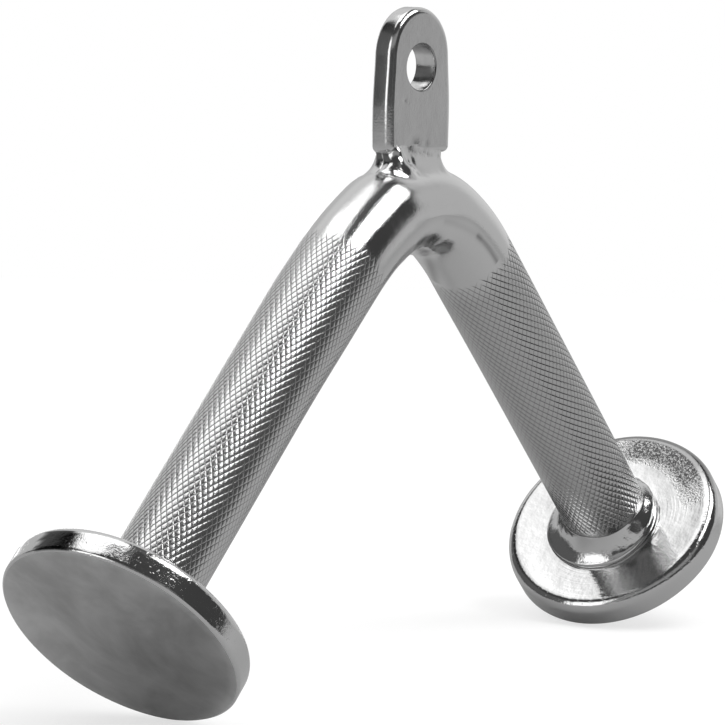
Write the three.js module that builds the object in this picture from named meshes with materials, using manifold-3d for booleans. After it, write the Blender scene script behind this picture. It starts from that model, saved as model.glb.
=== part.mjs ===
// V-bar cable handle: one bent round bar with an eye tab on the bend and a round disc on each end.
// Millimetres, +Z up. The origin is the centre of the eye in the hanger tab. The V lies in the XZ plane
// with its legs pointing down, and the plain front of the handle looks along -Y.
import * as THREE from "three";
import { mergeVertices } from "three/addons/utils/BufferGeometryUtils.js";
import Module from "manifold-3d";

// Round bar
const barDia = 28.6;
const bendRadius = 57.2;
const legLength = 191.5;
const legAngleDeg = 46.8;

// End discs
const discDia = 76;
const discThick = 10;
const discInnerRound = 3.6;
const discOuterChamfer = 0.7;

// Hanger tab
const tabWidth = 30.5;
const tabThick = 8;
const tabEdgeRound = 2.1;
const tabTurnDeg = -6;
const tabLeanDeg = 2;
const eyeDia = 15;
const eyeBelowTop = 18.6;
const eyeAboveBar = 31.3;
const shoulderAboveBar = 4.4;
const shoulderRound = 2.3;
const footWidth = 22.5;
const footStep = 0.5;

// Weld runs along the foot of the tab
const runThroat = 0.9;
const runEndThick = 1.5;
const runToeDepth = 5.4;
const runToeLength = 6;

// How deep the weld runs' levels lie, as shares of the bar's radius, and how much of the toe they keep
const runSinkShares = [0.5, 0.25];
const runToeLengthShares = [1, 1, 0.33, 0.12, 0];
const runToeDepthShares = [1, 1, 0.5, 0.2, 0];
const runWaistShare = 0.5;

// Weld rings between bar and discs
const ringFoot = 7;
const ringRise = 5.6;
const ringToe = 0.9;
const ringLip = 0.6;

// Clearance between pieces that touch on the real handle
const seatGap = 0.3;

// Overrun of the cutting solids
const overrun = 4;

// Numbers of facets
const barSides = 44;
const bendSteps = 24;
const discSides = 80;
const roundSteps = 5;
const eyeSides = 48;
const topSteps = 28;
const runSides = 48;

// Values that follow from the sizes above
const barRadius = barDia / 2;
const legAngle = THREE.MathUtils.degToRad(legAngleDeg);
const tabTurn = THREE.MathUtils.degToRad(tabTurnDeg);
const tabLean = THREE.MathUtils.degToRad(tabLeanDeg);
const crownZ = -eyeAboveBar;
const bendCentreZ = crownZ - barRadius - bendRadius;
const cornerZ = bendCentreZ + bendRadius / Math.sin(legAngle);
const discRadius = discDia / 2;
const eyeRadius = eyeDia / 2;

const wasm = await Module();
wasm.setup();

function toSolid(geometry) {
  const plain = geometry.clone();
  plain.deleteAttribute("normal");
  plain.deleteAttribute("uv");
  const welded = mergeVertices(plain);
  return new wasm.Manifold(new wasm.Mesh({
    numProp: 3,
    vertProperties: new Float32Array(welded.attributes.position.array),
    triVerts: new Uint32Array(welded.index.array),
  }));
}

function toGeometry(solid) {
  const mesh = solid.getMesh();
  const geometry = new THREE.BufferGeometry();
  geometry.setAttribute("position", new THREE.BufferAttribute(new Float32Array(mesh.vertProperties), 3));
  geometry.setIndex(new THREE.BufferAttribute(new Uint32Array(mesh.triVerts), 1));
  geometry.computeVertexNormals();
  return geometry;
}

// Closed skin over a row of rings with equal numbers of points, capped flat at both ends
function skin(rings) {
  const sides = rings[0].length;
  const points = rings.flat();
  const index = [];
  for (let i = 0; i + 1 < rings.length; i += 1) {
    for (let j = 0; j < sides; j += 1) {
      const k = (j + 1) % sides;
      const a = i * sides + j;
      const b = i * sides + k;
      index.push(a, b, b + sides, a, b + sides, a + sides);
    }
  }
  const last = (rings.length - 1) * sides;
  for (let j = 1; j + 1 < sides; j += 1) {
    index.push(0, j + 1, j, last, last + j, last + j + 1);
  }
  const geometry = new THREE.BufferGeometry();
  const flat = points.flatMap((p) => [p.x, p.y, p.z]);
  geometry.setAttribute("position", new THREE.Float32BufferAttribute(flat, 3));
  geometry.setIndex(index);
  geometry.computeVertexNormals();
  return geometry;
}

// Bar along the V: straight leg, bend about the bend centre, straight leg, each ring square to the path
function barGeometry(radius, length) {
  const bendHalf = Math.PI / 2 - legAngle;
  const stations = [];
  const tip = (side) => new THREE.Vector3(
    side * length * Math.sin(legAngle), 0, cornerZ - length * Math.cos(legAngle));
  stations.push({ centre: tip(-1), turn: -bendHalf });
  for (let i = 0; i <= bendSteps; i += 1) {
    const turn = bendHalf * (2 * i / bendSteps - 1);
    const centre = new THREE.Vector3(
      bendRadius * Math.sin(turn), 0, bendCentreZ + bendRadius * Math.cos(turn));
    stations.push({ centre, turn });
  }
  stations.push({ centre: tip(1), turn: bendHalf });
  const rings = stations.map(({ centre, turn }) => {
    const outward = new THREE.Vector3(Math.sin(turn), 0, Math.cos(turn));
    const ring = [];
    for (let j = 0; j < barSides; j += 1) {
      const a = 2 * Math.PI * j / barSides;
      const p = centre.clone().addScaledVector(outward, radius * Math.cos(a));
      p.y -= radius * Math.sin(a);
      ring.push(p);
    }
    return ring;
  });
  return skin(rings);
}

// Quarter round in a lathe or plate outline, from one angle to another
function arc(cx, cy, radius, from, to, steps) {
  const points = [];
  for (let i = 0; i <= steps; i += 1) {
    const a = from + (to - from) * i / steps;
    points.push(new THREE.Vector2(cx + radius * Math.cos(a), cy + radius * Math.sin(a)));
  }
  return points;
}

// Disc about its own Y axis, inner face at Y = 0 with a rounded rim, outer face at Y = -discThick
function discGeometry() {
  const profile = [
    new THREE.Vector2(0, -discThick),
    new THREE.Vector2(discRadius - discOuterChamfer, -discThick),
    new THREE.Vector2(discRadius, -discThick + discOuterChamfer),
    ...arc(discRadius - discInnerRound, -discInnerRound, discInnerRound, 0, Math.PI / 2, roundSteps),
    new THREE.Vector2(0, 0),
  ];
  return new THREE.LatheGeometry(profile, discSides);
}

// Weld ring about the same axis: a hollow fillet from the disc's inner face up to the bar
function ringGeometry() {
  const bore = barRadius + seatGap;
  const outer = barRadius + ringFoot;
  const base = seatGap;
  const top = seatGap + ringRise;
  const hollowAcross = outer - bore - ringLip;
  const hollowUp = ringRise - ringToe;
  const hollow = arc(0, 0, 1, -Math.PI / 2, -Math.PI, roundSteps);
  const profile = [
    new THREE.Vector2(bore, base),
    new THREE.Vector2(outer, base),
    new THREE.Vector2(outer, base + ringToe),
    ...hollow.slice(1).map((p) => new THREE.Vector2(outer + hollowAcross * p.x, top + hollowUp * p.y)),
    new THREE.Vector2(bore, top),
    new THREE.Vector2(bore, base),
  ];
  return new THREE.LatheGeometry(profile, barSides);
}

// Outline of the tab in its own plane: flat shoulders, straight sides and half-round top
function tabOutline(grow) {
  const half = tabWidth / 2 + grow;
  const topCentre = eyeBelowTop - tabWidth / 2;
  const shoulderZ = crownZ + shoulderAboveBar - grow;
  const round = shoulderRound;
  return new THREE.Shape([
    ...arc(half - round, shoulderZ + round, round, -Math.PI / 2, 0, roundSteps),
    ...arc(0, topCentre, half, 0, Math.PI, topSteps),
    ...arc(-half + round, shoulderZ + round, round, Math.PI, 3 * Math.PI / 2, roundSteps),
  ]);
}

// Outline of the foot that stands on the bar, a little narrower and thinner than the plate above it
function footOutline(grow) {
  const half = footWidth / 2 + grow;
  const low = bendCentreZ + bendRadius;
  const high = crownZ + 2 * shoulderAboveBar;
  return new THREE.Shape([
    new THREE.Vector2(-half, low),
    new THREE.Vector2(half, low),
    new THREE.Vector2(half, high),
    new THREE.Vector2(-half, high),
  ]);
}

// Plate of an outline, thickness along Y, leant and turned about the eye like the tab
function plate(outline, thickness, edge) {
  const depth = thickness - 2 * edge;
  const slab = new THREE.ExtrudeGeometry(outline, {
    depth,
    bevelEnabled: edge > 0,
    bevelThickness: edge,
    bevelSize: edge,
    bevelOffset: -edge,
    bevelSegments: 3,
    steps: 1,
  });
  slab.translate(0, 0, -depth / 2);
  slab.rotateX(Math.PI / 2);
  slab.rotateY(-tabLean);
  slab.rotateZ(tabTurn);
  return toSolid(slab);
}

// Tab and foot together, grown on all sides to cut the seats of the weld runs
function tabSolid(grow, edge) {
  const foot = plate(footOutline(grow), tabThick - 2 * footStep + 2 * grow, 0);
  return plate(tabOutline(grow), tabThick + 2 * grow, edge).add(foot);
}

// Grown bar that keeps the seat gap under the tab and under the weld runs
const barClearance = toSolid(barGeometry(barRadius + seatGap, legLength));

function tabGeometry() {
  const eye = new THREE.CylinderGeometry(eyeRadius, eyeRadius, tabThick + 2 * overrun, eyeSides);
  eye.rotateZ(tabTurn);
  const solid = tabSolid(0, tabEdgeRound).subtract(toSolid(eye)).subtract(barClearance);
  return toGeometry(solid);
}

// Lump of weld metal round the foot of the tab, stacked from rounded rings, before it is cut to its seats
function runLump() {
  const foot = footWidth / 2;
  const face = tabThick / 2;
  const levels = [
    [-barRadius * runSinkShares[0], 0, 0],
    [-barRadius * runSinkShares[1], 0, 0],
    [-runThroat, runEndThick, 0],
    [shoulderAboveBar * runWaistShare, runEndThick, runThroat],
    [shoulderAboveBar - seatGap, runEndThick, runThroat],
  ];
  const rings = levels.map(([above, endThick, throat], i) => {
    const halfLength = foot + endThick + runToeLength * runToeLengthShares[i];
    const halfDepth = face + throat + runToeDepth * runToeDepthShares[i];
    const ring = [];
    for (let j = 0; j < runSides; j += 1) {
      const a = 2 * Math.PI * j / runSides;
      const round = (v) => Math.sign(v) * Math.sqrt(Math.abs(v));
      ring.push(new THREE.Vector3(
        halfLength * round(Math.cos(a)), halfDepth * round(Math.sin(a)), crownZ + above));
    }
    return ring;
  });
  const lump = skin(rings);
  lump.rotateZ(tabTurn);
  return toSolid(lump);
}

// Front or back weld run: the half of the lump on that side, clear of the tab and of the bar
function runGeometry(side) {
  const reach = tabWidth + runToeLength;
  const half = new THREE.BoxGeometry(2 * reach, reach, 2 * reach);
  half.translate(0, side * (reach / 2 + seatGap / 2), crownZ);
  half.rotateZ(tabTurn);
  const solid = runLump().intersect(toSolid(half)).subtract(tabSolid(seatGap, 0));
  return toGeometry(solid.subtract(barClearance));
}

function chrome(color, roughness) {
  return new THREE.MeshStandardMaterial({ color, roughness, metalness: 1 });
}

function piece(name, geometry, material) {
  const mesh = new THREE.Mesh(geometry, material);
  mesh.name = name;
  return mesh;
}

const handle = new THREE.Group();
handle.add(piece("bent_bar", barGeometry(barRadius, legLength), chrome(0xc4c6c8, 0.22)));
handle.add(piece("hanger_tab", tabGeometry(), chrome(0xb8babc, 0.2)));
handle.add(piece("tab_weld_front", runGeometry(-1), chrome(0xc8c9ca, 0.15)));
handle.add(piece("tab_weld_back", runGeometry(1), chrome(0xc8c9ca, 0.15)));

// Each end group stands at the end of its leg, its own +Y pointing back up the leg
for (const [word, side] of [["left", -1], ["right", 1]]) {
  const end = new THREE.Group();
  const reach = legLength + seatGap;
  end.position.set(side * reach * Math.sin(legAngle), 0, cornerZ - reach * Math.cos(legAngle));
  end.quaternion.setFromUnitVectors(
    new THREE.Vector3(0, 1, 0), new THREE.Vector3(-side * Math.sin(legAngle), 0, Math.cos(legAngle)));
  end.add(piece(`end_disc_${word}`, discGeometry(), chrome(0xb4b6b8, 0.3)));
  end.add(piece(`disc_weld_${word}`, ringGeometry(), chrome(0xc8c9ca, 0.15)));
  handle.add(end);
}

export default handle;
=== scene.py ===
import math

import bpy
import numpy as np
from mathutils import Euler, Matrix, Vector


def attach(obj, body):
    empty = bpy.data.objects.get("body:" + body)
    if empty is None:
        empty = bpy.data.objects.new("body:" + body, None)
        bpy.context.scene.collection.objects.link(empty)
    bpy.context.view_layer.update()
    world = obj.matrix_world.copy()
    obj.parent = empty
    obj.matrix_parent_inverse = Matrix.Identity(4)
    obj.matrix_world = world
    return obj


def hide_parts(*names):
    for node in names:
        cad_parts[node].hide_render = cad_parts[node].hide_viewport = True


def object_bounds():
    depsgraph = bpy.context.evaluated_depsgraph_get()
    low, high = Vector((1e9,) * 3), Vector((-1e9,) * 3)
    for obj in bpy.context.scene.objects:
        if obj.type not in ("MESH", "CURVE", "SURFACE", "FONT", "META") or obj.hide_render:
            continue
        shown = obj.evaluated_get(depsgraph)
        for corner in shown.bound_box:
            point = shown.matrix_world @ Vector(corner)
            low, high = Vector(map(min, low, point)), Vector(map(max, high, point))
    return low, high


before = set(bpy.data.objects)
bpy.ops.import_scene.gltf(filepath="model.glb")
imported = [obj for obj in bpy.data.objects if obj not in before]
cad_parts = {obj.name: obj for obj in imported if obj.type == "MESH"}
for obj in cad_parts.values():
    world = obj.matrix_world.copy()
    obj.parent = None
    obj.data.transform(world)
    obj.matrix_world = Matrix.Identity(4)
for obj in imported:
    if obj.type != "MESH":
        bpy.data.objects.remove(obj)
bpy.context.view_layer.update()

MM = 0.001
RNG = np.random.default_rng(7)

# Sizes of the part in millimetres, the same as in the solid model
BAR_R = 14.3
BEND_R = 57.2
LEG = 191.5
HALF = math.radians(46.8)
CROWN_Z = -31.3
BEND_Z = CROWN_Z - BAR_R - BEND_R
CORNER_Z = BEND_Z + BEND_R / math.sin(HALF)
TANGENT = BEND_R / math.tan(HALF)
BEND_HALF = math.pi / 2 - HALF
CROWN_S = TANGENT - BEND_R * BEND_HALF
SEAT = 0.3

DISC_R = 38.0
DISC_T = 10.0
DISC_IN_ROUND = 3.6
DISC_OUT_CHAMFER = 0.75

TAB_W = 30.5
TAB_T = 8.0
TAB_EDGE = 2.1
TAB_TURN = math.radians(-6)
TAB_LEAN = math.radians(2)
EYE_R = 7.2
EYE_LIP = 0.45
EYE_TOP = 18.6
SHOULDER = 4.4
SHOULDER_R = 2.3
FOOT_W = 22.5

# Knurling: starts each way, helix angle and the stretch of leg that it covers
STARTS = 44
HELIX = math.radians(30)
KNURL_START = 50.2
KNURL_ROWS = 76
GROOVE_SHARE = 0.11
PLATEAU_CROWN = 0.010
PLATEAU_UNEVEN = 0.0015
GROOVE_RUN_OUT = 1.6
START_SCATTER = 2.8
END_SCATTER = 2.4
GROOVE_WANDER = 0.8
CROSSING_DEEPER = 0.25
DULL_FROM = 2.0
DULL_OVER = 9.0
# Where round the leg the second way's grooves are full, and where both ways are worn, in degrees
GRIP_BACK = (48, 16)
GRIP_INSIDE = (125, 240, 30)
WORN_INSIDE = 0.75
# The left grip is brighter, the right one darker. Depth of its grooves, the painted shade in them, its
# plateaus' darker tone, how much of the second way's grooves is left, and the roughness that the grip adds to
# the bar's
GRIPS = {-1: (0.046, 0.50, 0.05, 1.0, 0.13), 1: (0.12, 1.0, 0.19, 0.55, 0.06)}


# Mesh helpers
def piece(name, verts, faces, materials, nodes, smooth=None, which=None, marks=None):
    """Makes a mesh piece from points in millimetres; smooth and which hold a value a face, marks a point."""
    verts = np.asarray(verts, float) * MM
    mesh = bpy.data.meshes.new(name)
    mesh.from_pydata(verts.tolist(), [], faces)
    volume = 0.0
    for f in faces:
        a = verts[f[0]]
        for i in range(1, len(f) - 1):
            volume += float(np.dot(a, np.cross(verts[f[i]], verts[f[i + 1]])))
    if volume < 0:
        mesh.flip_normals()
    mesh.polygons.foreach_set("use_smooth", smooth or [True] * len(faces))
    for material in materials:
        mesh.materials.append(material)
    if which is not None:
        mesh.polygons.foreach_set("material_index", which)
    for mark, values in (marks or {}).items():
        mesh.attributes.new(mark, "FLOAT", "POINT").data.foreach_set("value", values)
    mesh.update()
    obj = bpy.data.objects.new(name, mesh)
    bpy.context.scene.collection.objects.link(obj)
    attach(obj, "root")
    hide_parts(*nodes)
    return obj


def grid_faces(rows, cols, closed=True):
    """Quads between rows of points; closed joins the last column to the first."""
    out = []
    for i in range(rows - 1):
        for j in range(cols if closed else cols - 1):
            k = (j + 1) % cols
            a = i * cols
            out.append((a + j, a + k, a + cols + k, a + cols + j))
    return out


def waves(angle, seed, count=5, first=2):
    """A smooth uneven curve round a circle, between about -1 and 1."""
    rng = np.random.default_rng(seed)
    total = np.zeros_like(angle)
    for n in range(first, first + count):
        total += rng.uniform(0.4, 1.0) / n * np.sin(n * angle + rng.uniform(0, 2 * math.pi))
    return total


def hump(distance, radius):
    """A soft round hump of height 1, about radius wide each way."""
    return np.exp(-(distance / radius) ** 2)


def between(value, low, high, soft):
    """1 from low to high and 0 outside, with slopes of the given length inside."""
    return np.clip((value - low) / soft, 0, 1) * np.clip((high - value) / soft, 0, 1)


# Node helpers
class Tree:
    """A small helper that adds shader nodes and joins them."""

    def __init__(self, owner):
        owner.use_nodes = True
        self.nodes = owner.node_tree.nodes
        self.links = owner.node_tree.links
        self.nodes.clear()

    def add(self, kind, inputs=None, **props):
        node = self.nodes.new(kind)
        for key, value in props.items():
            setattr(node, key, value)
        for key, value in (inputs or {}).items():
            self.put(node.inputs[key], value)
        return node

    def put(self, socket, value):
        if isinstance(value, bpy.types.NodeSocket):
            self.links.new(value, socket)
        else:
            socket.default_value = value

    def math(self, op, a, b=0.0, c=0.0):
        return self.add("ShaderNodeMath", {0: a, 1: b, 2: c}, operation=op).outputs[0]

    def noise(self, scale, detail, rough, where, stretch=(1, 1, 1), twist=0.0):
        where = self.add("ShaderNodeMapping", {"Vector": where, "Scale": stretch}).outputs[0]
        inputs = {"Scale": scale, "Detail": detail, "Roughness": rough, "Distortion": twist}
        return self.add("ShaderNodeTexNoise", {"Vector": where, **inputs}).outputs["Fac"]

    def ramp(self, fac, low, high, to_low=0.0, to_high=1.0):
        values = {"Value": fac, "From Min": low, "From Max": high, "To Min": to_low, "To Max": to_high}
        return self.add("ShaderNodeMapRange", values, interpolation_type="SMOOTHSTEP").outputs[0]

    def mix(self, fac, a, b):
        return self.add("ShaderNodeMix", {0: fac, 2: a, 3: b}, data_type="FLOAT").outputs[0]

    def vector(self, op, a, b):
        return self.add("ShaderNodeVectorMath", {0: a, 1: b}, operation=op)

    def grey(self, value):
        return self.add("ShaderNodeCombineColor", {0: value, 1: value, 2: value}).outputs[0]

    def bump(self, height, strength, distance, normal=None):
        inputs = {"Strength": strength, "Distance": distance, "Height": height}
        if normal is not None:
            inputs["Normal"] = normal
        return self.add("ShaderNodeBump", inputs).outputs[0]


GRAIN_SCALE = 1900.0
WAVE_SCALE = 140.0
PIT_SCALE = 900.0
LATHE_SCALE = 1100.0
SPECK_SCALE = 1300.0


def chrome(name, shade, rough, grain=0.12, wave=0.1, cloud=0.0, cloud_scale=30.0, pits=0.0, streak=0.0,
           marks=(), turned=None, rough_spot=None, stains=()):
    """Plated metal: grey base colour, uneven gloss, fine grain, slow waves, pits, streaks and marks, among
    them painted shade from a point attribute.
    """
    material = bpy.data.materials.new(name)
    t = Tree(material)
    where = t.add("ShaderNodeTexCoord").outputs["Object"]
    haze = t.noise(cloud_scale, 4.0, 0.6, where, twist=0.4)
    normal = t.bump(t.noise(GRAIN_SCALE, 2.0, 0.6, where), grain, 0.0004)
    normal = t.bump(t.noise(WAVE_SCALE, 3.0, 0.55, where), wave, 0.002, normal)
    tone = t.ramp(haze, 0.3, 0.7, shade * (1 - cloud), shade * (1 + cloud))
    gloss = t.ramp(haze, 0.3, 0.7, rough * 0.85, rough * 1.2)
    if streak > 0:
        lines = t.noise(60.0, 3.0, 0.6, where, stretch=(9, 9, 0.7))
        normal = t.bump(lines, streak, 0.001, normal)
    if pits > 0:
        holes = t.ramp(t.noise(PIT_SCALE, 2.0, 0.5, where), 0.60, 0.72, 1.0, 0.0)
        normal = t.bump(holes, pits, 0.0003, normal)
    # The point attribute darkens the tone: painted shade in grooves, folds, the eye and on the disc rims, and
    # on the grips also their darker plateaus
    if "tone_and_painted_shade" in marks:
        wear_and_painted_shade = t.add("ShaderNodeAttribute", attribute_name="tone_and_painted_shade").outputs["Fac"]
        tone = t.math("MULTIPLY", tone, t.math("SUBTRACT", 1.0, wear_and_painted_shade))
    if "haze" in marks:
        gloss = t.math("ADD", gloss, t.add("ShaderNodeAttribute", attribute_name="haze").outputs["Fac"])
    if turned is not None:
        centre, axis = turned
        rel = t.vector("SUBTRACT", where, centre).outputs[0]
        along = t.vector("DOT_PRODUCT", rel, axis).outputs["Value"]
        square = t.vector("DOT_PRODUCT", rel, rel).outputs["Value"]
        radius = t.math("SQRT", t.math("SUBTRACT", square, t.math("MULTIPLY", along, along)))
        lines = {"W": radius, "Scale": LATHE_SCALE, "Detail": 3.0}
        lathe = t.add("ShaderNodeTexNoise", lines, noise_dimensions="1D").outputs["Fac"]
        patchy = t.ramp(t.noise(45.0, 2.0, 0.5, where), 0.42, 0.62, 0.0, 0.05)
        normal = t.bump(lathe, patchy, 0.0005, normal)
    if rough_spot is not None:
        point, reach, inner = rough_spot
        far = t.vector("DISTANCE", where, point).outputs["Value"]
        near = t.ramp(far, reach * 0.45, reach, 1.0, 0.0)
        patch = t.math("MULTIPLY", near, t.ramp(radius, inner, inner + 0.005))
        specks = t.noise(SPECK_SCALE, 2.0, 0.7, where)
        normal = t.bump(specks, t.math("MULTIPLY", patch, 0.9), 0.0006, normal)
        tone = t.math("MULTIPLY", tone, t.ramp(t.math("MULTIPLY", specks, patch), 0.42, 0.56, 1.0, 0.25))
    for point, reach, amount in stains:
        far = t.vector("DISTANCE", where, point).outputs["Value"]
        blot = t.math("ADD", far, t.ramp(haze, 0.3, 0.7, -reach * 0.35, reach * 0.35))
        tone = t.math("MULTIPLY", tone, t.ramp(blot, 0.0, reach, 1.0 - amount, 1.0))
    inputs = {"Base Color": t.grey(tone), "Metallic": 1.0, "Roughness": gloss, "Normal": normal}
    shader = t.add("ShaderNodeBsdfPrincipled", inputs)
    t.add("ShaderNodeOutputMaterial", {"Surface": shader.outputs[0]})
    return material


BAR = chrome("bar_chrome", 0.64, 0.085, grain=0.12, wave=0.04, marks=("tone_and_painted_shade", "haze"))
WELD = chrome("weld_chrome", 0.66, 0.10, grain=0.10, wave=0.12)
RIM = chrome("disc_chrome", 0.64, 0.09, grain=0.08, wave=0.08, pits=0.14, marks=("tone_and_painted_shade",))
FACE = chrome("disc_face_satin", 0.60, 0.38, grain=0.12, wave=0.04, cloud=0.20, cloud_scale=36.0)


# The bent bar
def path_point(side, s, theta, radius):
    """Point at distance s below the corner along the bent bar, at angle theta from its outer side."""
    turn = BEND_HALF - np.maximum(TANGENT - s, 0) / BEND_R
    run = np.maximum(s - TANGENT, 0)
    out = BEND_R + radius * np.cos(theta)
    x = side * (out * np.sin(turn) + run * math.sin(HALF))
    z = BEND_Z + out * np.cos(turn) - run * math.cos(HALF)
    return np.stack([x, -radius * np.sin(theta), z], -1)


# Unevenness of the real bar, by the side that it is on: place along the bar from its crown, reach and height.
# Outside are the shoulders beside the tab, inside is the metal that the bending pushed up or drew in. Behind
# the left shoulder the bar is drawn thin, and before it, inside the bend, it is pushed up
OUTER_LUMPS = ((15, 12, 1.1), (-14, 7, 1.0), (-27, 10, -0.5))
INNER_LUMPS = ((-55, 24, 1.0), (45, 26, 0.35), (0, 7, -0.8), (-7, 7, -1.2), (16, 11, -1.4))
BACK_LUMPS = ((-20, 8, 0.1), (-40, 13, -0.7))
FRONT_LUMPS = ((-34, 14, 0.75),)
LUMPS = ((0.0, OUTER_LUMPS), (math.pi, INNER_LUMPS), (-0.87, BACK_LUMPS), (2.3, FRONT_LUMPS))

# A fold with its branch inside the bend, and a crease across the right of it, each with painted shade along
# it, and a painted dark reflection streak with no fold under it: width, depth, painted shade (a negative one
# takes painted shade away) and places along the bar from its crown and round it in degrees
FOLDS_AND_PAINTED_SHADE = (
    (2.4, 0.26, 0.50, ((-16, 134), (-13, 127), (-7, 125), (-2, 124), (2, 131))),
    (2.2, 0.28, 0.55, ((-4, 147), (2, 152), (9, 167))),
    (1.8, -0.25, -0.40, ((0, 139), (2.5, 141))),
    (1.1, 0.04, 0.12, ((1, 98), (10, 101), (18, 102), (25, 102))),
    (0.9, 0.12, 0.45, ((23, 102), (33, 104), (40, 106))),
    (2.1, 0.0, 0.42, ((4, 158), (12, 172), (18, 180), (26, 188), (31, 193), (38, 201))),
)
PAINTED_SHADE_MOST = 0.8


def form_relief(side, s, theta):
    """Height of the real bar above a true tube at a distance below the corner and an angle round it."""
    along = side * (s - CROWN_S)
    relief = 0.0
    for middle, lumps in LUMPS:
        facing = np.clip(np.cos(theta - middle), 0, 1)
        relief = relief + facing * sum(height * hump(along - at, reach) for at, reach, height in lumps)
    return relief


def valley(along, theta, width, places):
    """A soft valley of depth 1 through places given as distance along the bar and angle in degrees."""
    gap = np.full(np.shape(theta), np.inf)
    for (x0, a0), (x1, a1) in zip(places, places[1:]):
        x, y = along - x0, (theta - math.radians(a0)) * BAR_R
        dx, dy = x1 - x0, math.radians(a1 - a0) * BAR_R
        t = np.clip((x * dx + y * dy) / (dx * dx + dy * dy), 0, 1)
        gap = np.minimum(gap, np.hypot(x - t * dx, y - t * dy))
    return hump(gap, width)


def bend_relief(side, s, theta):
    """Finer relief of the bend and the painted shade along it: slow waves, the fold and the crease."""
    along = side * (s - CROWN_S)
    relief = 0.02 * np.sin(along / 6.1 + 2 * theta) + 0.02 * np.sin(along / 3.7 - 3 * theta + 1.1)
    tone_and_painted_shade = 0.0
    for width, depth, shade, places in FOLDS_AND_PAINTED_SHADE:
        there = valley(along, theta, width, places)
        relief = relief - depth * there
        tone_and_painted_shade = tone_and_painted_shade + shade * there
    return relief, np.clip(tone_and_painted_shade, 0, PAINTED_SHADE_MOST)


BEND_RINGS = 90
BEND_FADE = 6.0


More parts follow.
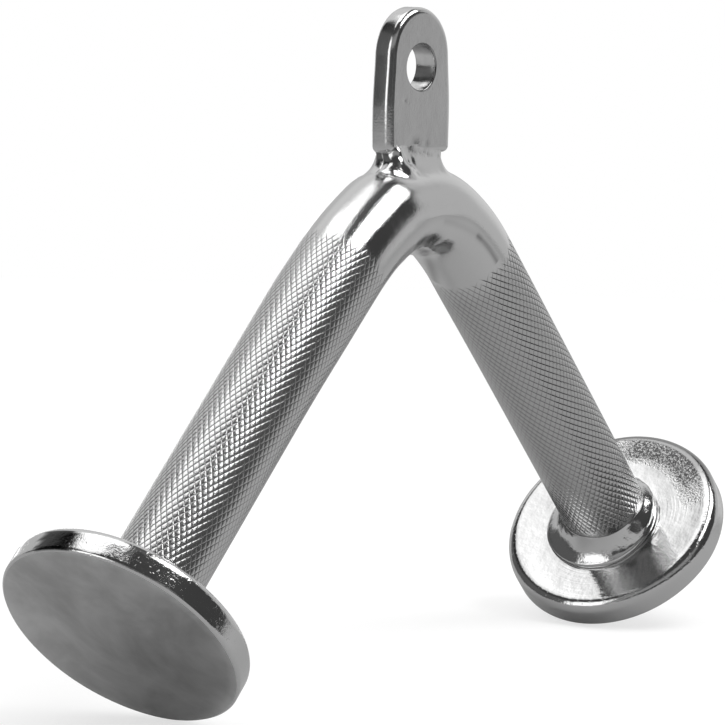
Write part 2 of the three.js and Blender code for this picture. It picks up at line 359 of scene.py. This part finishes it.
def bar_mesh():
    """Knurled legs on a diamond lattice, joined to a smooth swept bend and plain ends."""
    shares = np.array([0.0, GROOVE_SHARE, 0.5, 1 - GROOVE_SHARE])
    sub = len(shares)
    cells = STARTS * sub
    row = math.pi * BAR_R / (STARTS * math.tan(HELIX))
    last = KNURL_ROWS * sub
    span = KNURL_ROWS * row
    verts, faces, smooth, tone_and_painted_shade, haze = [], [], [], [], []

    def lattice(index):
        return index // sub + shares[index % sub]

    def knurl_cut(side, s, theta, a_idx, b_idx):
        """A lattice point's cut, painted shade and darker tone, groove depth and haze; each groove has its
        own start and end.
        """
        groove, groove_painted_shade, dull, kept, rough = GRIPS[side]
        rng = np.random.default_rng(90 + side)
        starts = rng.uniform(0.0, START_SCATTER, (2, STARTS))
        ends = rng.uniform(0.0, END_SCATTER, (2, STARTS))
        wander = GROOVE_WANDER * waves(theta, 11 + side, 6, 2)
        drop = 1.2 + 0.9 * waves(theta, 21 + side, 6, 2)
        # The second way's grooves are fuller towards the back, and both are worn away on the inner side
        turn = np.degrees(theta) % 360
        second = kept + (1 - kept) * hump(turn - GRIP_BACK[0], GRIP_BACK[1])
        wear_and_painted_shade = 1 - WORN_INSIDE * (1 - kept) * between(turn, *GRIP_INSIDE)
        depth = np.zeros_like(s)
        for family, index in enumerate((a_idx, b_idx)):
            number = (index // sub) % STARTS
            top = KNURL_START + 0.4 + starts[family][number] + wander
            low = KNURL_START + span - drop - ends[family][number]
            cut = groove * wear_and_painted_shade * (second if family == 1 else 1.0)
            depth = np.maximum(depth, cut * between(s, top, low, GROOVE_RUN_OUT) * (index % sub == 0))
        crossing = (a_idx % sub == 0) & (b_idx % sub == 0)
        middle = ((a_idx % sub == 2) * 1.0 + (b_idx % sub == 2)) / 2
        plateau = PLATEAU_CROWN * (1 - middle) + RNG.normal(0, PLATEAU_UNEVEN, len(s))
        inside = between(s, KNURL_START, KNURL_START + span, 2)
        dull = dull * np.clip((s - KNURL_START - DULL_FROM - 2 * wander) / DULL_OVER, 0, 1)
        # Painted shade in the grooves, over the darker tone of the plateaus
        tone_and_painted_shade = dull + (groove_painted_shade - dull) * depth / groove
        return depth * (1 + CROSSING_DEEPER * crossing) + plateau * inside, tone_and_painted_shade, depth, rough * inside

    ring_index = {}
    for side in (-1, 1):
        base = len(verts)
        a_idx, b_idx = [], []
        number = {}
        for b in range(-last, cells):
            for a in range(b, b + last + 1):
                if 0 <= a < cells:
                    number[(a, b)] = base + len(a_idx)
                    a_idx.append(a)
                    b_idx.append(b)
        a_idx = np.array(a_idx)
        b_idx = np.array(b_idx)
        fa = lattice(a_idx)
        fb = lattice(b_idx)
        s = KNURL_START + (fa - fb) * row
        theta = math.pi * (fa + fb) / STARTS
        cut, shade, depth, rough = knurl_cut(side, s, theta, a_idx, b_idx)
        radius = BAR_R + form_relief(side, s, theta) - cut
        verts.extend(path_point(side, s, theta, radius).tolist())
        # Painted shade of the grooves and the plateaus' darker tone
        tone_and_painted_shade.extend(shade.tolist())
        haze.extend(rough.tolist())

        def at(a, b):
            shift = (a // cells) * cells
            return number[(a - shift, b - shift)]

        for b in range(-last, cells):
            for a in range(max(b - 1, 0), min(b + last + 1, cells)):
                lo, hi = a - b - 1, a - b + 1
                if hi < 1 or lo > last - 1:
                    continue
                wall = a % sub in (0, sub - 1) or b % sub in (0, sub - 1)
                if lo < 0:
                    corners = [(a, b), (a + 1, b), (a + 1, b + 1)]
                elif hi > last:
                    corners = [(a, b), (a + 1, b + 1), (a, b + 1)]
                else:
                    corners = [(a, b), (a + 1, b), (a + 1, b + 1), (a, b + 1)]
                face = tuple(at(*p) for p in corners)
                faces.append(face if side < 0 else face[::-1])
                smooth.append(not wall or max(depth[i - base] for i in face) < 0.01)
        ring_index[(side, "top")] = [at(i, i) for i in range(cells)]
        ring_index[(side, "low")] = [at(i + last, i) for i in range(cells)]
    columns = lattice(np.arange(cells))
    theta = 2 * math.pi * columns / STARTS
    low_theta = math.pi * (2 * columns + KNURL_ROWS) / STARTS

    def join(one, side, s, angle, relief, mark=0.0):
        """Adds a ring of points at distance s and the faces that join it to ring one."""
        start = len(verts)
        radius = BAR_R + form_relief(side, s, angle) + relief
        verts.extend(path_point(side, np.full(cells, s), angle, radius).tolist())
        tone_and_painted_shade.extend((np.zeros(cells) + mark).tolist())
        haze.extend([0.0] * cells)
        two = list(range(start, start + cells))
        bridge(one, two)
        return two

    def bridge(one, two):
        for j in range(cells):
            k = (j + 1) % cells
            faces.append((one[j], one[k], two[k], two[j]))
            smooth.append(True)

    steps = np.linspace(KNURL_START, CROWN_S, BEND_RINGS)[1:]
    previous = ring_index[(-1, "top")]
    for side, s in [(-1, s) for s in steps] + [(1, s) for s in steps[-2::-1]]:
        fade = min((KNURL_START - s) / BEND_FADE, 1)
        # mark is painted shade along the folds, the crease and the streak
        relief, mark = bend_relief(side, s, theta)
        previous = join(previous, side, s, theta, fade * relief, mark)
    bridge(previous, ring_index[(1, "top")])
    for side in (-1, 1):
        start = len(faces)
        ring = join(ring_index[(side, "low")], side, LEG, low_theta, 0.0)
        faces.append(tuple(ring))
        smooth.append(False)
        if side < 0:
            faces[start:] = [face[::-1] for face in faces[start:]]
    return np.array(verts), faces, smooth, {"tone_and_painted_shade": tone_and_painted_shade, "haze": haze}


verts, faces, smooth, marks = bar_mesh()
piece("bar_bent", verts, faces, [BAR], ["bent_bar"], smooth, marks=marks)


# Discs and their weld rings
def end_frame(side):
    """Centre of a disc's inner face, the direction up the leg, and two directions across."""
    up = np.array([-side * math.sin(HALF), 0.0, math.cos(HALF)])
    reach = LEG + SEAT
    centre = np.array([side * reach * math.sin(HALF), 0.0, CORNER_Z - reach * math.cos(HALF)])
    out = np.array([side * math.cos(HALF), 0.0, math.sin(HALF)])
    front = np.array([0.0, -1.0, 0.0])
    return centre, up, out, front


def place(side, radius, angle, height):
    """Points by distance from a leg's axis, angle round it and height above its disc's inner face."""
    centre, up, out, front = end_frame(side)
    radius, angle, height = np.broadcast_arrays(radius, angle, height)
    return (centre + height[..., None] * up + (radius * np.cos(angle))[..., None] * out
            + (radius * np.sin(angle))[..., None] * front)


def disc_profile():
    """Radius and height of the disc's outline, from the outer face's middle round to the inner's."""
    profile = [(0.04, -DISC_T)]
    c = DISC_OUT_CHAMFER
    profile += [(r, -DISC_T) for r in np.linspace(4, DISC_R - c, 12)]
    profile += [(DISC_R - c + 0.12, 0.05 - DISC_T), (DISC_R - 0.05, c - 0.12 - DISC_T), (DISC_R, c - DISC_T)]
    r = DISC_IN_ROUND
    profile += [(DISC_R, h) for h in np.linspace(c - DISC_T, -r, 7)[1:-1]]
    for a in np.radians(np.linspace(0, 90, 15)):
        profile.append((DISC_R - r + r * math.cos(a), -r + r * math.sin(a)))
    profile += [(q, 0.0) for q in np.linspace(DISC_R - r - 1.0, 12, 22)] + [(0.04, 0.0)]
    return profile


DISC_SIDES = 220
DISC_UNEVEN = 0.12
DISH = 0.35
SWIRL = 0.02
# Painted shade on a disc's edge: from and to in degrees, softness, bottom, top and darkness. It is a black
# painted reflection on the left disc's rim, and painted shade that dulls the highlight along the right one's
# upper edge
RIM_PAINTED_SHADE = {-1: (-22, 0, 3, -9.5, -2.5, 0.95), 1: (-60, 62, 20, -3.3, 1.0, 0.62)}


def disc_mesh(side):
    """The disc's mesh, a face's finish (0 rim, 1 outer, 2 inner) and a point's painted shade."""
    angle = np.arange(DISC_SIDES) * 2 * math.pi / DISC_SIDES
    profile = disc_profile()
    rows, which, tone_and_painted_shade = [], [], []
    rng = np.random.default_rng(53 + side)
    degrees = (np.degrees(angle) + 180) % 360 - 180
    low, high, slope, bottom, top, amount = RIM_PAINTED_SHADE[side]
    edge = DISC_R - DISC_IN_ROUND
    for rad, h in profile:
        turn = degrees + 1.3 * math.sin(2.1 * h) + rng.normal(0, 0.5, DISC_SIDES)
        # Painted shade on the rim, standing in for dark reflections
        tone_and_painted_shade.append(amount * between(turn, low, high, slope) * (bottom < h < top))
        soft = 0.04 + np.abs(DISC_UNEVEN * waves(angle, 71 + side, 5, 2) * (rad / DISC_R) ** 3)
        # The inner face is a very shallow dish
        dish = -DISH * max(1 - (rad / edge) ** 4, 0) - 0.02 if h > -0.5 else 0.0
        swirl = SWIRL * np.sin(3 * angle + rad / 2.4 + side) * (h > -0.01) * (rad < edge - 0.5)
        rows.append(place(side, rad - soft * (rad > 30), angle, h + dish + swirl))
    for (_, low), (_, high) in zip(profile, profile[1:]):
        zone = 1 if high < 0.01 - DISC_T else 2 if low > -0.01 else 0
        which += [zone] * DISC_SIDES
    faces = grid_faces(len(rows), DISC_SIDES)
    verts = np.concatenate(rows)
    faces.append(tuple(reversed(range(DISC_SIDES))))
    faces.append(tuple((len(rows) - 1) * DISC_SIDES + j for j in range(DISC_SIDES)))
    return verts, faces, which + [1, 2], {"tone_and_painted_shade": np.concatenate(tone_and_painted_shade).tolist()}


RING_WIDE_AT = math.radians(235)
RING_SIDES = 180
RING_LEVELS = 22
RING_SUNK = 0.45
# The ring's reach from the bar and its height, each with its change round the bar, and its lip and bulge
RING_FOOT = (5.5, 2.7)
RING_RISE = (7.6, 0.6)
RING_LIP = (1.1, 0.9)
RING_BULGE = 1.7


def ring_mesh(side, seed):
    """A hand-laid weld round the bar's end: wide and low on one side, a tight collar on the other."""
    angle = np.arange(RING_SIDES) * 2 * math.pi / RING_SIDES
    lean = np.cos(angle - RING_WIDE_AT)
    foot = RING_FOOT[0] + RING_FOOT[1] * lean + 0.35 * waves(angle, seed, 8, 3)
    rise = RING_RISE[0] + RING_RISE[1] * lean + 0.5 * waves(angle, seed + 1, 7, 2)
    lip = RING_LIP[0] + 0.3 * waves(angle, seed + 2, 9, 3) + RING_LIP[1] * (1 - lean) / 2
    bulge = RING_BULGE * ((1 - lean) / 2) ** 1.5
    bore = BAR_R + 0.06
    rows = [place(side, bore, angle, -RING_SUNK), place(side, BAR_R + foot - 0.1, angle, -RING_SUNK)]
    rows.append(place(side, BAR_R + foot + 0.05, angle, 0.3 * lip))
    rows.append(place(side, BAR_R + foot - 0.15, angle, 0.75 * lip))
    for i in range(RING_LEVELS + 1):
        share = i / RING_LEVELS
        a = math.pi / 2 * i / RING_LEVELS
        # Nothing at the foot and at the top, and 1 halfway up
        belly = math.sin(2 * a)
        out = (foot - 0.5) * (0.6 * (1 - math.sin(a)) + 0.4 * (1 - share)) + bulge * belly ** 1.2
        h = lip + (rise - lip) * (0.6 * (1 - math.cos(a)) + 0.4 * share)
        ripple = 0.04 * np.sin(23 * angle + 5.0 * belly + seed) * belly
        flow = 0.16 * waves(angle + 0.9 * share, seed + 5, 9, 4) * belly
        rows.append(place(side, bore + 0.04 + out + ripple + flow, angle, h))
    rows.append(place(side, bore, angle, rise + 0.05))
    verts = np.concatenate(rows)
    faces = grid_faces(len(rows), RING_SIDES)
    top = (len(rows) - 1) * RING_SIDES
    for j in range(RING_SIDES):
        k = (j + 1) % RING_SIDES
        faces.append((top + j, top + k, k, j))
    return verts, faces


for side, word in ((-1, "left"), (1, "right")):
    verts, faces, which, marks = disc_mesh(side)
    centre, up = end_frame(side)[:2]
    # The right disc's inner face is rough at one place, outside the weld ring: middle, reach, inner radius
    spot = place(side, 32.0, math.radians(22), 0.0)
    rough_spot = (tuple(spot * MM), 0.029, 0.0235) if side > 0 else None
    inside = chrome(f"disc_inner_{word}", 0.64, 0.11, grain=0.02, wave=0.06,
                    turned=(tuple(centre * MM), tuple(up)), rough_spot=rough_spot)
    flags = [len(f) == 4 for f in faces]
    finish = [RIM, FACE, inside]
    piece(f"disc_{word}", verts, faces, finish, [f"end_disc_{word}"], flags, which, marks)
    verts, faces = ring_mesh(side, 31 if side > 0 else 47)
    piece(f"weld_ring_{word}", verts, faces, [WELD], [f"disc_weld_{word}"])


# The hanger tab
def tab_to_world(x, y, z, turn=TAB_TURN):
    """From the tab's own upright frame, turned about the eye's upright axis, to the part's frame."""
    c, s = math.cos(turn), math.sin(turn)
    x, y, z = np.broadcast_arrays(x, y, z)
    return np.stack([x * c - y * s, x * s + y * c, z], -1)


def leant(x, y, z):
    """The same for the plate, which also leans a little to one side."""
    c, s = math.cos(TAB_LEAN), math.sin(TAB_LEAN)
    x, y, z = np.broadcast_arrays(x, y, z)
    return tab_to_world(x * c - z * s, y, x * s + z * c)


LOWER_EDGE_SLOPE = 0.025


def tab_outline():
    """Points and outward normals along the plate's outline, from the right shoulder round."""
    half = TAB_W / 2
    top = EYE_TOP - half
    low = CROWN_Z + SHOULDER + SHOULDER_R
    inner = half - SHOULDER_R
    points, normals = [], []

    def put(x, z, nx, nz):
        points.append((x, z))
        normals.append((nx, nz))

    for a in np.radians(np.linspace(-90, 0, 9)):
        put(inner + SHOULDER_R * math.cos(a), low + SHOULDER_R * math.sin(a), math.cos(a), math.sin(a))
    for z in np.linspace(low, top, 22)[1:-1]:
        put(half, z, 1, 0)
    for a in np.radians(np.linspace(0, 180, 97)):
        put(half * math.cos(a), top + half * math.sin(a), math.cos(a), math.sin(a))
    for z in np.linspace(top, low, 22)[1:-1]:
        put(-half, z, -1, 0)
    for a in np.radians(np.linspace(180, 270, 9)):
        put(-inner + SHOULDER_R * math.cos(a), low + SHOULDER_R * math.sin(a), math.cos(a), math.sin(a))
    for x in np.linspace(-inner, inner, 26)[1:-1]:
        put(x, low - SHOULDER_R, 0, -1)
    points = np.array(points)
    points[:, 1] -= LOWER_EDGE_SLOPE * points[:, 0] * np.clip((-16 - points[:, 1]) / 8, 0, 1)
    return points, np.array(normals)


# Widths of the hand-cut plate as shares of its nominal width: below the eye, how much narrower round the
# top and at the foot, and how much wider on the right
PLATE_WIDE = 1.026
PLATE_TOP_LESS = 0.073
PLATE_FOOT_LESS = 0.014
PLATE_RIGHT_MORE = 0.012
EDGE_WEAR = 0.08
# Painted shade in the eye: on its roof and on its lips
ROOF_PAINTED_SHADE = 0.7
LIP_PAINTED_SHADE = 0.5

# Dents in the plate's front face: place across and up, size and depth
DENTS = ((-8.0, -10.2, 0.6, 0.04), (-3.4, -23.2, 1.5, 0.10),
         (-2.0, -23.6, 0.9, 0.08), (2.8, -24.0, 0.8, 0.05))


def tab_mesh():
    """The plate: a closed skin from the eye's front lip, over the front, round the edge and back."""
    points, normals = tab_outline()
    n = len(points)
    polar = np.arctan2(points[:, 1], points[:, 0])
    half = TAB_T / 2
    taper = np.clip((points[:, 1] + 13) / 20, 0, 1)
    belly = PLATE_WIDE - PLATE_TOP_LESS * taper ** 2 * (3 - 2 * taper)
    belly = belly - PLATE_FOOT_LESS * np.clip((-17 - points[:, 1]) / 8, 0, 1)
    belly = belly + PLATE_RIGHT_MORE * (points[:, 0] > 0)
    wear = EDGE_WEAR * np.abs(waves(polar, 5, 9, 5))

    def edge(b, sign):
        p = points - normals * (TAB_EDGE * (1 - math.sin(b)) + wear)[:, None]
        return p[:, 0] * belly, sign * (half - TAB_EDGE * (1 - math.cos(b))), p[:, 1]

    def lip(a, sign):
        r = EYE_R + EYE_LIP * (1 - math.cos(a))
        return r * np.cos(polar), sign * (half - EYE_LIP * (1 - math.sin(a))), r * np.sin(polar)

    def web(sign):
        x0, _, z0 = lip(math.pi / 2, sign)
        x1, _, z1 = edge(0.0, sign)
        out = []
        for t in np.linspace(0, 1, 34)[1:-1]:
            x, z = x0 + (x1 - x0) * t, z0 + (z1 - z0) * t
            dip = sum(depth * hump(np.hypot(x - a, z - b), size) for a, b, size, depth in DENTS)
            out.append((x, dip - half if sign < 0 else half, z))
        return out

    arc = np.radians(np.linspace(0, 90, 10))
    quarter = np.radians(np.linspace(0, 90, 7))
    sheets = [[lip(a, sign) for a in quarter] + web(sign) + [edge(b, sign) for b in arc] for sign in (-1, 1)]
    rows = [leant(*row) for row in sheets[0] + sheets[1][::-1]]
    faces = grid_faces(len(rows), n)
    last = (len(rows) - 1) * n
    for j in range(n):
        k = (j + 1) % n
        faces.append((last + j, last + k, k, j))
    verts = np.concatenate(rows)
    smooth = [True] * len(faces)
    bore = len(quarter) - 1
    which = [int(i < bore or i >= len(rows) - bore - 1) for i in range(len(rows)) for _ in range(n)]
    # The foot below the shoulders, sunk into the plate above it and into the welds beside it
    fx, fy = FOOT_W / 2, TAB_T / 2 - 0.5
    low, high = CROWN_Z - 0.2, CROWN_Z + SHOULDER + 1.0
    b = len(verts)
    corners = [(-fx, -fy), (fx, -fy), (fx, fy), (-fx, fy)]
    # Painted shade inside the eye, darkest under its roof
    roof = ROOF_PAINTED_SHADE * np.clip((np.sin(polar) - 0.45) / 0.4, 0, 1)
    shade = [roof] + [np.maximum(roof, LIP_PAINTED_SHADE)] * (len(quarter) - 1)
    plain = [np.zeros(n)] * (len(rows) - 2 * len(quarter))
    tone_and_painted_shade = np.concatenate(shade + plain + shade[::-1] + [np.zeros(8)]).tolist()
    foot = [leant(x, y, z) for z in (low, high) for x, y in corners]
    verts = np.concatenate([verts, np.array(foot)])
    faces += [(b, b + 3, b + 2, b + 1), (b + 4, b + 5, b + 6, b + 7)]
    faces += [(b + i, b + (i + 1) % 4, b + 4 + (i + 1) % 4, b + 4 + i) for i in range(4)]
    smooth += [False] * 6
    return verts, faces, smooth, which + [0] * 6, {"tone_and_painted_shade": tone_and_painted_shade}


def on_front(x, z):
    """A place on the plate's front face, in metres."""
    return tuple(leant(x, -TAB_T / 2, z) * MM)


# Stains on the plate's front face: place, reach and darkness
STAINS = ((on_front(-3.6, -23.4), 0.0042, 0.30), (on_front(-2.6, -23.4), 0.0016, 0.35),
          (on_front(-8.0, -10.2), 0.0010, 0.25), (on_front(3.6, -24.2), 0.0018, 0.12))
TAB = chrome("tab_chrome", 0.64, 0.14, grain=0.07, wave=0.03, cloud=0.05, streak=0.008, stains=STAINS)
BORE = chrome("eye_chrome", 0.68, 0.14, grain=0.10, wave=0.10, cloud=0.08, cloud_scale=260.0, marks=("tone_and_painted_shade",))
verts, faces, smooth, which, marks = tab_mesh()
piece("tab_plate", verts, faces, [TAB, BORE], ["hanger_tab"], smooth, which, marks)


# Weld runs at the tab's foot
NECK_W = 26.3
NECK_ROUND = 2.2
TOE_SIDE = 6.0
TOE_FRONT = 5.2
RUN_TOP = -24.2
RUN_LEVELS = 26
RUN_INSET = 1.2

# Beads and hollows of the hand-laid weld: place in the tab's own frame, size and height
BEADS = [
    (-12.4, -4.4, -29.3, 3.0, 1.2), (-10.2, -6.4, -32.3, 2.4, 0.9), (-14.6, -2.8, -32.2, 2.4, 0.9),
    (-7.4, -6.2, -32.6, 2.2, 0.6), (-11.8, -4.6, -25.6, 1.6, 0.6), (-13.6, 1.4, -30.6, 2.4, 0.6),
    (10.4, -6.4, -31.6, 1.6, 0.15), (6.2, 5.6, -31.0, 2.6, 0.6), (-2.5, 6.4, -32.4, 2.4, 0.5),
    (-8.2, 5.0, -29.4, 2.2, 0.6), (12.4, 4.6, -31.2, 2.6, 0.8), (1.6, 5.2, -28.4, 2.0, 0.4),
]
BEADS += [(RNG.uniform(-15, -4), RNG.uniform(-7, -4), RNG.uniform(-34, -25.5), RNG.uniform(0.7, 1.5),
           RNG.uniform(-0.55, 0.45)) for _ in range(36)]


def crown_height(x, y):
    """Height of the bar's upper surface over a point near the top of the bend."""
    s = CROWN_S + BEND_R * np.arcsin(np.clip(x / (BEND_R + BAR_R), -1, 1))
    radius = BAR_R + form_relief(1, s, 0.0) * np.sqrt(np.clip(1 - (y / BAR_R) ** 2, 0, 1))
    across = np.sqrt(np.maximum(radius ** 2 - y ** 2, 0))
    return BEND_Z + np.sqrt(np.maximum((BEND_R + across) ** 2 - x ** 2, 0))


def neck_outline():
    """Points and outward normals of the neck's rounded outline, over one face, from left to right."""
    a, b, r = NECK_W / 2, TAB_T / 2, NECK_ROUND
    out = [(-a, y, -1.0, 0.0) for y in np.linspace(0, b - r, 7)]
    for q in np.radians(np.linspace(0, 90, 14))[1:]:
        out.append((r - a - r * math.cos(q), b - r + r * math.sin(q), -math.cos(q), math.sin(q)))
    out += [(x, b, 0.0, 1.0) for x in np.linspace(r - a, a - r, 58)[1:]]
    for q in np.radians(np.linspace(90, 0, 14))[1:]:
        out.append((a - r + r * math.cos(q), b - r + r * math.sin(q), math.cos(q), math.sin(q)))
    out += [(a, y, 1.0, 0.0) for y in np.linspace(b - r, 0, 7)[1:]]
    return np.array(out).T


def run_mesh(side, seed):
    """One weld run: a hollow fillet from the bar up to the plate's face, with lumps and dimples."""
    px, py, nx, ny = neck_outline()
    n = len(px)
    share = np.linspace(0, 1, n)
    middle = np.sin(math.pi * share)
    reach = TOE_SIDE * nx ** 2 + TOE_FRONT * ny ** 2 + 0.35 * middle * waves(share * 2 * math.pi, seed, 7, 2)
    low = CROWN_Z + SHOULDER + 0.2
    top = low + (RUN_TOP - low) * ny ** 4 + 0.3 * middle * waves(share * 2 * math.pi, seed + 1, 6, 3)

    def on_bar(x, y, turn=TAB_TURN):
        world = tab_to_world(x, side * y, 0.0, turn)
        return crown_height(world[:, 0], world[:, 1])

    seat = on_bar(px, py)
    rows = []
    for i in range(RUN_LEVELS + 1):
        a = math.pi / 2 * i / RUN_LEVELS
        # The upper rows sink very slowly into the plate, so that no edge shows
        out = reach * (1 - math.sin(a)) ** (1 + 0.6 * nx ** 2)
        out = out + 0.04 - 0.08 * max(0.0, (i / RUN_LEVELS - 0.6) / 0.4)
        x, y = px + nx * out, py + ny * out
        # The toe lies square to the bar, and the run turns towards the plate as it rises
        turn = TAB_TURN * (i / RUN_LEVELS) ** 3
        z = on_bar(x, y, turn) - 0.03 * (1 - i / RUN_LEVELS) + (top - seat) * (1 - math.cos(a))
        lift = np.zeros(n)
        for bx, by, bz, size, height in BEADS:
            gap = np.sqrt((x - bx) ** 2 + (side * y - by) ** 2 + (z - bz) ** 2)
            lift += height * hump(gap, size) * min(1, 5 * (i + 1) / RUN_LEVELS)
        x, y, z = x + nx * lift * math.sin(a), y + ny * lift * math.sin(a), z + lift * math.cos(a)
        rows.append(tab_to_world(x, side * y, z, turn))
    for z in (top - 0.2, seat - 0.3):
        rows.append(tab_to_world(px - nx * RUN_INSET, side * np.maximum(py - ny * RUN_INSET, 0), z))
    verts = np.concatenate(rows)
    faces = grid_faces(len(rows), n, closed=False)
    last = (len(rows) - 1) * n
    for j in range(n - 1):
        faces.append((last + j, last + j + 1, j + 1, j))
    faces.append(tuple(i * n for i in range(len(rows))))
    faces.append(tuple(i * n + n - 1 for i in reversed(range(len(rows)))))
    return verts, faces


for side, word in ((-1, "front"), (1, "back")):
    verts, faces = run_mesh(side, 61 if side < 0 else 83)
    flags = [len(f) == 4 for f in faces]
    piece(f"weld_run_{word}", verts, faces, [WELD], [f"tab_weld_{word}"], flags)


# Floor, light, world and camera
FLOOR_GREY = 0.41
FLOOR_WHITE = 0.6


def add_floor():
    """A plain pale floor: white to the camera but for a soft shadow, light grey in the metal."""
    bpy.ops.mesh.primitive_circle_add(vertices=96, radius=1.5, fill_type="NGON")
    floor = bpy.context.object
    floor.name = "floor"
    floor.location = (0, 0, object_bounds()[0][2] - 0.0004)
    material = bpy.data.materials.new("floor")
    t = Tree(material)
    seen = t.add("ShaderNodeLightPath").outputs["Is Camera Ray"]
    colour = t.grey(t.mix(seen, FLOOR_GREY, 1.0))
    matt = t.add("ShaderNodeBsdfDiffuse", {"Color": colour})
    white = t.add("ShaderNodeEmission", {"Strength": 1.0})
    fill = t.math("MULTIPLY", seen, FLOOR_WHITE)
    shader = t.add("ShaderNodeMixShader", {0: fill, 1: matt.outputs[0], 2: white.outputs[0]})
    t.add("ShaderNodeOutputMaterial", {"Surface": shader.outputs[0]})
    floor.data.materials.append(material)


SOFTBOX_SIZE = (0.58, 0.34)
SOFTBOX_AIM = (292, 55.5)
SOFTBOX_AWAY = 0.75


def direction(azimuth, elevation):
    a, e = math.radians(azimuth), math.radians(elevation)
    return Vector((math.cos(a) * math.cos(e), math.sin(a) * math.cos(e), math.sin(e)))


def add_softbox():
    """One large soft light to the right of the camera, close enough to differ along the bar."""
    data = bpy.data.lights.new("softbox", "AREA")
    data.shape = "RECTANGLE"
    data.size, data.size_y = SOFTBOX_SIZE
    data.energy = 4.0 * math.pi * data.size * data.size_y
    light = bpy.data.objects.new("softbox", data)
    bpy.context.scene.collection.objects.link(light)
    aim = direction(*SOFTBOX_AIM)
    light.location = Vector((0, 0, BEND_Z + BEND_R)) * MM + aim * SOFTBOX_AWAY
    light.rotation_euler = (-aim).to_track_quat("-Z", "Y").to_euler()
    light.visible_camera = False


# Panels of the studio: azimuth from, to, elevation from, to, brightness, softness of the edges
PANELS = (
    (-80, 200, -100, -6, 0.5, 8, 4),
    (-200, -104, -10, 38, 0.33, 8, 8),
    (172, 200, -10, 38, 0.33, 4, 8),
    (-172, -104, -12, 14, 0.07, 3, 2),
    (-110, 40, 66, 100, 0.12, 8, 4),
    (-48, -34, -14, 9, 0.5, 4, 4),
    (-38, 2, -12, 34, 0.6, 2.5, 5),
    (-27, 2, 32, 50, 0.6, 3, 5),
    (-8, 26, -5, 54, 0.76, 7, 8),
    (22, 98, -5, 100, 0.6, 5, 4),
    (22, 98, 28, 100, 0.82, 5, 8),
    (22, 98, 60, 100, 1.6, 8, 8),
    (31, 52, -20, 4, 1.9, 2, 4),
    (84, 146, 2, 38, 0.12, 3, 3),
    (88, 112, 34, 54.5, 0.03, 2, 2),
    (94, 150, 56, 100, 1.4, 4, 4),
    (147, 176, -14, 34, 1.7, 3, 3),
)

OFF_PANELS = 0.06
# A bright ceiling window: its sides as slopes x/z and, slanted, (y - SLANT x)/z, their softness, brightness
CEILING_X = (-0.23, 0.32)
CEILING_Y = (-0.07, 0.60)
CEILING_SLANT = 0.4
CEILING_SOFT = 0.04
CEILING = 2.0


def add_world():
    """White for the camera, plain for diffuse light, and a studio of panels for the metal."""
    world = bpy.data.worlds.new("studio")
    bpy.context.scene.world = world
    t = Tree(world)
    split = t.add("ShaderNodeSeparateXYZ", {0: t.add("ShaderNodeTexCoord").outputs["Generated"]})
    x, y, z = split.outputs[0], split.outputs[1], split.outputs[2]
    az = t.math("MULTIPLY", t.math("ARCTAN2", y, x), 180 / math.pi)
    el = t.math("MULTIPLY", t.math("ARCSINE", z), 180 / math.pi)

    def window(value, low, high, soft):
        rise = t.ramp(value, low - soft, low + soft)
        fall = t.ramp(value, high - soft, high + soft, 1.0, 0.0)
        return t.math("MULTIPLY", rise, fall)

    level = OFF_PANELS
    for az0, az1, el0, el1, value, soft_az, soft_el in PANELS:
        mask = t.math("MULTIPLY", window(az, az0, az1, soft_az), window(el, el0, el1, soft_el))
        level = t.mix(mask, level, value)
    slant = t.math("SUBTRACT", y, t.math("MULTIPLY", x, CEILING_SLANT))
    ceiling = t.math("MULTIPLY", window(t.math("DIVIDE", x, z), *CEILING_X, CEILING_SOFT),
                     window(t.math("DIVIDE", slant, z), *CEILING_Y, CEILING_SOFT))
    ceiling = t.math("MULTIPLY", ceiling, t.ramp(z, 0.4, 0.5))
    level = t.mix(ceiling, level, CEILING)
    glossy = t.add("ShaderNodeLightPath").outputs["Is Glossy Ray"]
    strength = t.mix(glossy, 1.0, level)
    back = t.add("ShaderNodeBackground", {"Color": (1, 1, 1, 1), "Strength": strength})
    t.add("ShaderNodeOutputWorld", {"Surface": back.outputs[0]})


# The photograph's camera, from the fit of its outlines
CAMERA_LENS = 207.48
CAMERA_PLACE = (-1.10973, -0.68854, 0.03486)
CAMERA_TURN = (84.3953, -2.0191, -57.4587)


def add_camera():
    data = bpy.data.cameras.new("camera")
    data.lens = CAMERA_LENS
    data.sensor_width = 36
    data.clip_end = 20
    camera = bpy.data.objects.new("camera", data)
    bpy.context.scene.collection.objects.link(camera)
    camera.location = CAMERA_PLACE
    camera.rotation_euler = Euler([math.radians(a) for a in CAMERA_TURN], "XYZ")
    bpy.context.scene.camera = camera


add_floor()
add_softbox()
add_world()
add_camera()
bpy.context.scene.view_settings.view_transform = "Standard"
